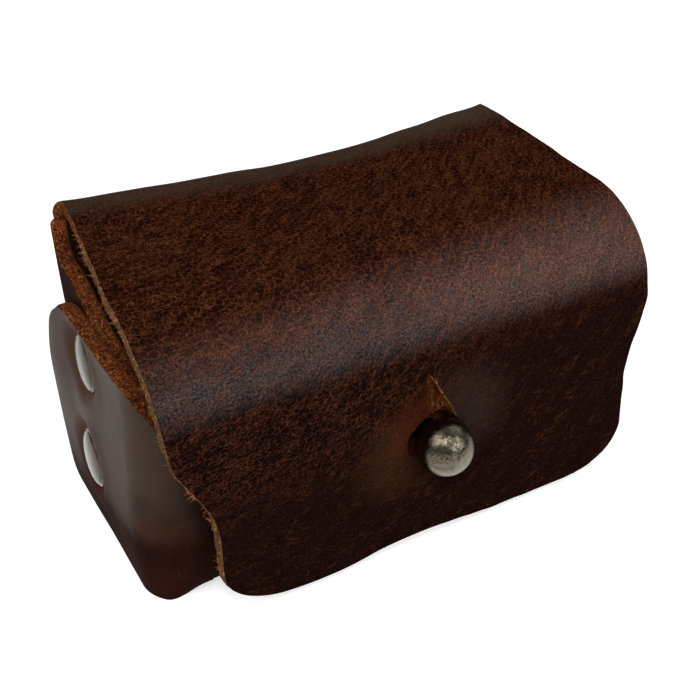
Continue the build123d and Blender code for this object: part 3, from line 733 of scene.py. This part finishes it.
def flap_grain(name):
    """Grain side of the flap: oiled red-brown leather with a fine broken net of pale cracks on the
    top, painted light on the shoulder, slanting wrinkles under the shoulder with painted shade in them
    and painted highlights on their ridges, a near-black leaf with hair-thin wavy lines, a burnished
    back fold whose grey band is a painted reflection, a smoother patch beside the slit with a painted
    sheen, and raw suede where the ball has torn the slit open."""
    material, tree, shader = blank_finish(name, 0.58)
    place, across, along = hide_place(tree)
    on_leaf = along.rise(V_SHOULDER + 11, V_LEAF + 1)
    # The shoulder band: besides its real wax, its base is blended lighter, painted light where it faces the
    # front lamp.
    shoulder = (along + across * 0.07).rise(V_SHOULDER + 2.5, V_SHOULDER + 14.5)
    shoulder = shoulder * along.rise(V_SHOULDER + 20.5, V_SHOULDER + 14.5)
    climb = along + across * 0.21 + (across + 40.0) * (across + 40.0) * 0.0062
    slant = stretched(across, climb, 0.45, 1.0, 3.0)

    cloud = place.noise(0.075, 4.0, 0.6, 0.4)
    patch = slant.noise(0.42, 4.0, 0.65, 0.6)
    dark = place.noise(0.3, 3.0, 0.65, 0.8)
    speck = place.noise(3.1, 3.0, 0.7)
    grit = place.noise(7.0, 2.0, 0.7)
    strength = slant.noise(0.9, 3.0, 0.75)

    drawn = stretched(across, climb, 0.66, 1.30, 7.0)
    broken = speck.rise(0.30, 0.46)
    worms = drawn.noise(0.9, 2.0, 0.6, 0.9).thread(0.030, 0.006) * strength.rise(0.36, 0.56)
    hairs = drawn.noise(2.2, 2.0, 0.6, 0.7).thread(0.05, 0.012) * strength.rise(0.42, 0.58)
    net = place.cracks(0.98, 0.14, 1.1).rise(0.25, 0.85) * strength.rise(0.15, 0.70) * broken
    pleats = drawn.cracks(1.35, 0.15, 1.0).rise(0.25, 0.85) * speck.rise(0.36, 0.50)
    loops = place.noise(0.62, 2.0, 0.6, 1.6).thread(0.026, 0.006) * strength.rise(0.42, 0.58)
    waves = stretched(across - along * 0.3, along, 0.30, 0.9, 9.0).noise(0.55, 3.0, 0.55, 1.2)
    waves = waves.thread(0.020, 0.005) * patch.rise(0.46, 0.60)

    # The wrinkle zone under the shoulder is darkened towards black, painted shade that is deepest in the fold
    # valleys; its pleat lines are partly real pale lines and partly a painted highlight on the ridges.
    wrinkled = along.rise(V_SHOULDER + 8, V_SHOULDER + 17) * along.rise(V_LEAF + 15, V_LEAF + 2)
    wrinkled = wrinkled * (across - along * 0.5 + V_LEAF * 0.5).rise(18, -4)
    folds = drawn.noise(1.5, 3.0, 0.6, 0.8)
    # Beside the slit the hide is smoother, with fewer lines and some wax, and its grey-brown is a painted
    # sheen.
    smoothed_sheen = place.near((5.2, V_STUD - 3.4, 0.0), 10.5, 9.0)
    # Back fold: burnished smoother, with fewer lines and some wax, and its olive-grey band is a painted
    # reflection.
    rubbed_sheen = (along - patch * 5.0).rise(V_TOP + 2.5 + across.rise(8, 38) * 2.5, V_TOP - 2)
    rubbed_sheen = rubbed_sheen * (0.72 + across.rise(0, 36) * 0.28)

    leaf_tone = speck.rise(0.4, 0.7).mix(LEAF_BLACK, LEAF_BROWN)
    quiet = 1 - on_leaf * (0.84 - patch.rise(0.5, 0.7) * 0.12) * (1 - wrinkled * 0.9)
    quiet = quiet * (1 - smoothed_sheen * 0.5) * (1 - rubbed_sheen * 0.6)
    # Line tone: lighter on the shoulder, which is painted light, and pinker in the wrinkle zone, which is
    # partly a painted highlight on the ridges.
    ridge_tone = lay(HIDE_LINE, (wrinkled, HIDE_RIDGE), (shoulder, HIDE_LIT))
    halo = place.near((-6.5, V_STUD + 1.5, 0.0), 10.0, 8.0) * (speck.rise(0.35, 0.60) * 0.6 + 0.4)
    reddened = place.near((-3.0, V_STUD - 3.0, 0.0), 7.5, 5.0) * (speck.rise(0.36, 0.60) * 0.7 + 0.3)
    tone = lay(
        HIDE_DEEP, (speck.rise(0.40, 0.66), HIDE_RED), (cloud.rise(0.46, 0.66) * 0.45, HIDE_WARM),
        (shoulder * 0.45, HIDE_SHOULDER_LIGHT), (dark.rise(0.54, 0.66) * 0.85, HIDE_BLACK), (on_leaf, leaf_tone),
        # painted shade over the wrinkle zone, deepest in the fold valleys, then painted ridge highlights
        (wrinkled * (folds.rise(0.66, 0.50) * 0.55 + 0.42), LEAF_BLACK),
        (hairs * quiet * 0.10, ridge_tone), (net * quiet * (0.70 - wrinkled * 0.6), ridge_tone),
        (pleats * wrinkled * (strength.rise(0.36, 0.62) * 0.6 + 0.1), HIDE_RIDGE),
        (worms * quiet * (0.48 - wrinkled * 0.3), ridge_tone), (loops * quiet * 0.6, HIDE_LINE),
        (waves * on_leaf * 0.35, HIDE_LINE),
        (grit.rise(0.64, 0.72) * strength.rise(0.5, 0.7) * quiet * 0.8, HIDE_CHALK),
        (rubbed_sheen * 0.7, speck.rise(0.38, 0.62).mix(HIDE_OLIVE, HIDE_RUB_SHEEN)), (smoothed_sheen * 0.4, HIDE_WORN_SHEEN),
        (halo * 0.36, HIDE_TAN), (reddened * 0.42, HIDE_FOXY))

    open_share = (along - V_APEX) / TEAR_RUN + strength * 0.08 - 0.04
    edge_left = across - TEAR_TOP + (speck - 0.5) * 2.6
    edge_right = TEAR_TOP + open_share * TEAR_WIDE - across + (speck - 0.5) * 0.3
    tear = edge_left.rise(-0.7, 0.6) * edge_right.rise(0.0, 0.12) * open_share.rise(0.0, 0.12)
    tear = tear * along.rise(V_STUD + 0.5, V_STUD - 1.5)
    raw = lay(TEAR_PIT, (place.noise(2.5, 4.0, 0.85, 0.8).rise(0.44, 0.58), TEAR_TONE),
              (grit.rise(0.54, 0.68) * 0.6, TEAR_LIGHT))
    brow = edge_right.rise(-0.30, -0.05) * edge_right.rise(0.12, 0.0) * open_share.rise(0.02, 0.2)
    brow = brow * speck.rise(0.40, 0.56)
    brow = brow * along.rise(V_STUD - 1, V_STUD - 2.5)
    tone = lay(tone, (tear, raw), (brow * 0.7, TEAR_LIGHT))

    sparkle = speck.rise(0.42, 0.60) * 0.9 + 0.2
    wax = shoulder * sparkle * (0.95 + patch.rise(0.60, 0.40) * 0.4) + 0.01 + wrinkled * pleats * 0.15
    wax = (wax + rubbed_sheen * 0.2 + smoothed_sheen * 0.08) * (1 - tear)
    height = speck * 0.8 + net * 0.4 + worms * 0.5 + pleats * wrinkled * 0.8
    dress(tree, shader, tone, 0.35 + cloud * 0.08,
          [(patch, 0.12), (folds * (0.35 + wrinkled * 0.65), 0.42), (speck * tear, 0.7), (height, 0.3),
           (grit, 0.05)])
    wear(tree, shader, wax)
    return material


# Of these tones, the shoulder's lighter tone and the lit line tone are painted light, the ridge tone is
# partly a painted highlight, and the worn and olive greys carry painted sheen and reflection.
HIDE_DEEP, HIDE_RED, HIDE_WARM = paint(19, 4, 3), paint(36, 12, 8), paint(50, 22, 12)
HIDE_BLACK, HIDE_SHOULDER_LIGHT, HIDE_WORN_SHEEN = paint(13, 6, 4), paint(74, 34, 26), paint(60, 42, 32)
HIDE_LINE, HIDE_CHALK, HIDE_RIDGE = paint(110, 62, 36), paint(178, 148, 128), paint(118, 60, 38)
HIDE_LIT, HIDE_RUB_SHEEN, HIDE_OLIVE = paint(150, 90, 62), paint(84, 66, 48), paint(44, 31, 20)
HIDE_TAN, HIDE_FOXY = paint(92, 62, 36), paint(112, 50, 26)
LEAF_BLACK, LEAF_BROWN = paint(13, 5, 5), paint(41, 20, 17)
TEAR_TONE, TEAR_PIT, TEAR_LIGHT = paint(140, 64, 20), paint(44, 10, 5), paint(222, 162, 100)
flap_side = flap_grain("hide_flap_grain")
flap_edge = suede_finish("hide_flap_edge", paint(160, 108, 60), paint(92, 52, 24), paint(214, 170, 112))
fold_sheet = hide_sheet("flap_back_fold", face[::-1], flat[::-1], [flap_side] + POUCH[1:], seam=seam[::-1],
                        hairs=150, reach=0.3, seed=14)
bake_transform(fold_sheet)

# ---------------- flap: top and front leaf
# From the fold the flap runs over the top, rolls over the shoulder and hangs down the front as a
# leaf with stepped sides. A hole with a slit above it buttons over the ball stud.
BALL_RADIUS, BALL_PROUD = 4.4, 2.5

rows = join([
    linspace(V_CUT, V_SHOULDER, 40), linspace(V_SHOULDER, V_LEAF, 42)[1:],
    spaced(V_LEAF, V_HEM, 112, dense_at=(V_STUD - 3,), width=8.0, gain=1.6, ends=3.0)[1:]])
columns = join([-half_columns[::-1], half_columns])
s, v = np.meshgrid(columns, rows)
s[:, :len(half_columns)] = minimum(s[:, :len(half_columns)], -1e-9)
face, u = flap_face(s, v)
ny, nz = flap_line(v)[2:]
away = hypot(u, v - V_STUD)
dish = sqrt(clip((BALL_RADIUS + 0.2) ** 2 - clip(away, HOLE, 99) ** 2, 0, None)) - BALL_PROUD + 0.2
dish = clip(dish, 0, None) * (away < BALL_RADIUS) + 0.35 * exp(-(away / 7.0) ** 2)
torn = clip((v - V_APEX) / TEAR_RUN, 0, 1.15)
torn_right = TEAR_TOP + TEAR_WIDE * torn
inside = clip((u - TEAR_TOP) / maximum(torn_right - TEAR_TOP, 0.05), 0, 1)
above = v < V_STUD
rough_floor = 0.12 * wander(u, v, 0.55, 51) + 0.08 * wander(u, v, 0.3, 52)
groove = 1.2 * torn ** 0.7 * np.sin(pi * inside ** 1.5) ** 0.8
groove = (groove + rough_floor * (inside > 0) * (inside < 1)) * above
lip_fade = where(u < torn_right + 0.3, 0.3, 3.4)
lip = 0.5 * clip(torn * 1.4, 0, 1) * exp(-((u - torn_right - 0.3) / lip_fade) ** 2)
lip = lip * above * smooth(away, 2.5, 6)
depth = -dish - groove + lip
face = face + depth[..., None] * dstack([ny * 0, ny, nz])
up = V_STUD - v
hole_half = sqrt(clip(HOLE ** 2 - up ** 2, 0, None))
slit_half = where((up > 0) & (up < SLIT_LENGTH), 0.05 + 0.25 * clip(1 - up / SLIT_LENGTH, 0, 1), 0)
gape = maximum(hole_half, slit_half)
face[..., 0] += where(s < 0, -1, 1) * gape * (1 - smooth(abs(u), 0, 6.0))
doubled = gape[:, 0] > 0
at_slit = abs(s) < 1e-6
bare = (inside > 0.1) & (inside < 0.98) & above & (torn > 0.05) & ~at_slit & (away > 3.5)
flat = dstack([u, v])
bald = (v > V_HEM - 0.1) & (abs(u) < 26) | (u > 20) & (v < V_HEM - 6)
seam = (v == rows[0]) | at_slit
cover_sheet = hide_sheet("flap_top_and_leaf", face[::-1], flat[::-1], [flap_side, flap_edge, flesh, fibre],
                         seam=seam[::-1], hairs=1700, reach=0.3, seed=15,
                         slit=(len(half_columns) - 1, doubled[::-1]), torn=bare[::-1], torn_hairs=160,
                         bald=bald[::-1])
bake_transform(cover_sheet)
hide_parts("flap_top", "flap_front")

# ---------------- stud and rivets
# The ball stud and the double-cap rivets are nickel-plated brass: bright where fingers and leather
# rub, olive and dark in the pits and scratches.


def nickel(name, light, tarnish, mark_scale, centre=None, toward=None, dull=0.0):
    """Worn nickel plate: clouds of tarnish, fine scratches and pits. Where a centre and a way are
    given, a round patch on that side is the worst: dull, scratched, black in its pits and darkened,
    the darkening partly tarnish and partly a painted dark reflection."""
    material, tree, shader = blank_finish(name, 0.5, 1.0)
    place = Wire(tree.nodes.new("ShaderNodeTexCoord").outputs["Object"])
    cloud = place.noise(0.35 * mark_scale, 4.0, 0.6, 0.8)
    pits = place.noise(2.6 * mark_scale, 4.0, 0.8, 1.0)
    scratch = place.noise(0.9 * mark_scale, 5.0, 0.8, 3.5)
    tone = cloud.rise(0.38, 0.66).mix(light, tarnish)
    worst = cloud * 0.3
    if centre:
        # The patch on the given side is dulled and darkened: partly tarnish, partly a painted dark
        # reflection.
        facing = place.vector("SUBTRACT", centre).vector("DOT_PRODUCT", toward, out=1)
        worst = (facing / (BALL_RADIUS * MM) + (pits - 0.5) * 0.14).rise(0.58, 0.72)
        tone = lay(tone, (worst * 0.95, BALL_TARNISH_REFLECTION))
    black = tuple(c * 0.10 for c in tarnish)
    tone = lay(tone, (pits.rise(0.48, 0.57) * (0.1 + worst * 0.85), black))
    rough = cloud * 0.05 + pits.rise(0.50, 0.62) * worst * 0.22 + (0.11 + dull)
    dress(tree, shader, tone, rough, [(pits - scratch * 0.5, 0.03)])
    return material


# Colour of the ball's darkened patch: tarnish and a painted dark reflection.
BALL_TARNISH_REFLECTION = paint(104, 96, 81)
CAP_SIDES = 96
CROWN, RIM, SKIRT = 0.95, 0.35, 0.8    # dome above the rim, the rim's half height, underside's depth


def rivet_cap(name, x, z, side, tip, roll_turn):
    """Pressed cap, a closed surface of revolution: a shallow dome, a rolled rim and a flat
    underside; tipped by tip about the upright and by roll_turn about the fore-and-aft line, in
    radians."""
    turns = linspace(0, 2 * pi, CAP_SIDES + 1)[:-1]
    swing = linspace(0, 1, 15)[1:] * 0.5 * pi
    rolled = linspace(0, pi, 9)[1:]
    dome = CAP - RIM
    radius = join([dome * np.sin(swing), dome + RIM * np.sin(rolled), [dome * 0.97]])
    height = join([CROWN * np.cos(swing) ** 1.2 + RIM, RIM * np.cos(rolled), [-SKIRT]])
    ring_x = height[:, None] * np.ones(CAP_SIDES)
    ring_y, ring_z = radius[:, None] * np.cos(turns), radius[:, None] * np.sin(turns)
    points = dstack([ring_x, ring_y, ring_z]).reshape(-1, 3)
    points = join([points, [[CROWN + RIM, 0, 0], [-SKIRT, 0, 0]]])
    turned = points.copy()
    turned[:, 0] = points[:, 0] - tip * points[:, 1] + roll_turn * points[:, 2]
    turned[:, 1] = points[:, 1] + tip * points[:, 0]
    turned[:, 2] = points[:, 2] - roll_turn * points[:, 0]
    turned = turned * [side, 1, 1] + [side * x, RIVET_Y, z]
    ids = np.arange(len(radius) * CAP_SIDES).reshape(-1, CAP_SIDES)
    near, far = ids[:-1], ids[1:]
    quads = dstack([near, far, np.roll(far, -1, 1), np.roll(near, -1, 1)]).reshape(-1, 4)
    last = ids.size
    lids = join([stack([ids[0], np.roll(ids[0], -1), 0 * ids[0] + last], axis=1),
                 stack([np.roll(ids[-1], -1), ids[-1], 0 * ids[0] + last + 1], axis=1)])
    if side < 0:
        quads, lids = quads[:, ::-1], lids[:, ::-1]
    mesh = bpy.data.meshes.new(name)
    mesh.from_pydata((turned * MM).tolist(), [], quads.tolist() + lids.tolist())
    mesh.polygons.foreach_set("use_smooth", np.ones(len(mesh.polygons), bool))
    mesh.materials.append(rivet_nickel)
    mesh.update()
    return link_new(name, mesh)


ball_low, ball_high = box_mm("stud_ball")
ball_centre = (0.0, (ball_low[1] + BALL_RADIUS) * MM, (ball_low[2] + ball_high[2]) / 2 * MM)
stud_nickel = nickel("stud_nickel", paint(124, 116, 101), paint(88, 80, 68), 1000.0,
                     ball_centre, (-0.269, -0.506, 0.819))
rivet_nickel = nickel("rivet_nickel", paint(87, 78, 67), paint(60, 56, 46), 500.0)
inner_nickel = nickel("inner_nickel", paint(190, 184, 172), paint(140, 132, 118), 700.0, dull=0.34)
for name, node in frame["nodes"].items():
    if name.startswith(("rivet_back", "stud")):
        node.data.materials.clear()
        node.data.materials.append(stud_nickel if name == "stud_ball" else inner_nickel)
CAP_OUT = {"lower": HALF + 0.25, "upper": HALF - 1.1}
for side, hand in ((-1, "left"), (1, "right")):
    for (level, out), z, tip, roll_turn in zip(CAP_OUT.items(), RIVET_Z, (0.05, 0.08), (-0.04, -0.05)):
        cap = rivet_cap("rivet_" + hand + "_" + level + "_dome", out, z, side, tip, roll_turn)
        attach(cap, "case")
        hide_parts("rivet_cap_" + hand + "_" + level)

# ---------------- studio
# A plain pale floor under soft lamps: a broad one in front to the right, one at each side, and two
# small ones that make the bright spots on the ball. Floor and backdrop look white to the camera.
AZIMUTH, ELEVATION, ROLL = -28.01, 33.01, -2.08
AIM_HEIGHT = 0.025     # of the lamps, in metres
DISTANCE, FOCAL_PIXELS, FRAME_PIXELS, SENSOR = 193.38, 1168.5, 700, 36.0
target = Vector((0.46, 0.25, 19.94)) * MM

floor_mesh = bpy.data.meshes.new("studio_floor")
floor_mesh.from_pydata([(-4, -4, 0), (4, -4, 0), (4, 4, 0), (-4, 4, 0)], [], [(0, 1, 2, 3)])
studio_floor = link_new("studio_floor", floor_mesh)
floor_finish, tree, shader = blank_finish("studio_floor", 0.0)
shader.inputs["Base Color"].default_value = (0.60, 0.60, 0.60, 1)
shader.inputs["Roughness"].default_value = 0.9


def seen_by(tree, camera, others):
    """Strength for the rays that show a surface: one for the camera's, one for those that metal and
    glass send."""
    rays = tree.nodes.new("ShaderNodeLightPath").outputs
    return Wire(rays["Is Camera Ray"]) * camera + (
        Wire(rays["Is Glossy Ray"]) + Wire(rays["Is Transmission Ray"])) * others


glow = seen_by(tree, 1.0, 1.0).mix((0.0, 0.0, 0.0), (0.68, 0.68, 0.68))
feed(shader.inputs["Emission Color"], glow)
shader.inputs["Emission Strength"].default_value = 1.0
floor_mesh.materials.append(floor_finish)

world = bpy.data.worlds.new("studio")
stage = bpy.context.scene
stage.world = world
world.use_nodes = True
sky = world.node_tree.nodes["Background"]
sky.inputs["Color"].default_value = (1.0, 1.0, 1.02, 1)
seen = seen_by(world.node_tree, 0.9, 0.24) + 0.10
feed(sky.inputs["Strength"], seen)


def lamp(name, azimuth, elevation, distance, half_angle, light_sum):
    """Square soft lamp aimed at the case from an azimuth (0 in front, positive to the right) and an
    elevation, as wide as half_angle either way; light_sum is what it sends to the case, where pi
    lights a sheet that faces it as brightly as its own colour."""
    az, el = radians(azimuth), radians(elevation)
    way = Vector((sin(az) * cos(el), -cos(az) * cos(el), sin(el)))
    light = bpy.data.lights.new(name, "AREA")
    light.shape, light.size = "SQUARE", 2 * distance * sin(radians(half_angle)) / cos(radians(half_angle))
    light.energy = light_sum * pi * distance ** 2
    holder = link_new(name, light)
    holder.location = way * distance + Vector((0, 0, AIM_HEIGHT))
    holder.rotation_euler = way.to_track_quat("Z", "Y").to_euler()


lamp("key_window", 22, 33, 0.8, 22, 2.1)
lamp("left_window", -92, 52, 0.9, 18, 1.2)
lamp("right_window", 104, 44, 0.9, 16, 0.4)
lamp("ball_glint", -25, 55, 0.8, 4.0, 0.95)
lamp("ball_glint_low", -72, 47, 0.8, 2.2, 0.22)

camera = bpy.data.cameras.new("camera")
camera.lens, camera.sensor_width = FOCAL_PIXELS / FRAME_PIXELS * SENSOR, SENSOR
camera.clip_start, camera.clip_end = 0.005, 20
viewer = link_new("camera", camera)
stage.camera = viewer
az, el = radians(AZIMUTH), radians(ELEVATION)
toward = Vector((-sin(az) * cos(el), cos(az) * cos(el), -sin(el)))
viewer.location = target - toward * DISTANCE * MM
aimed = toward.to_track_quat("-Z", "Y").to_matrix()
viewer.rotation_euler = (aimed @ Matrix.Rotation(radians(ROLL), 3, "Z")).to_euler()
stage.view_settings.view_transform = "Standard"
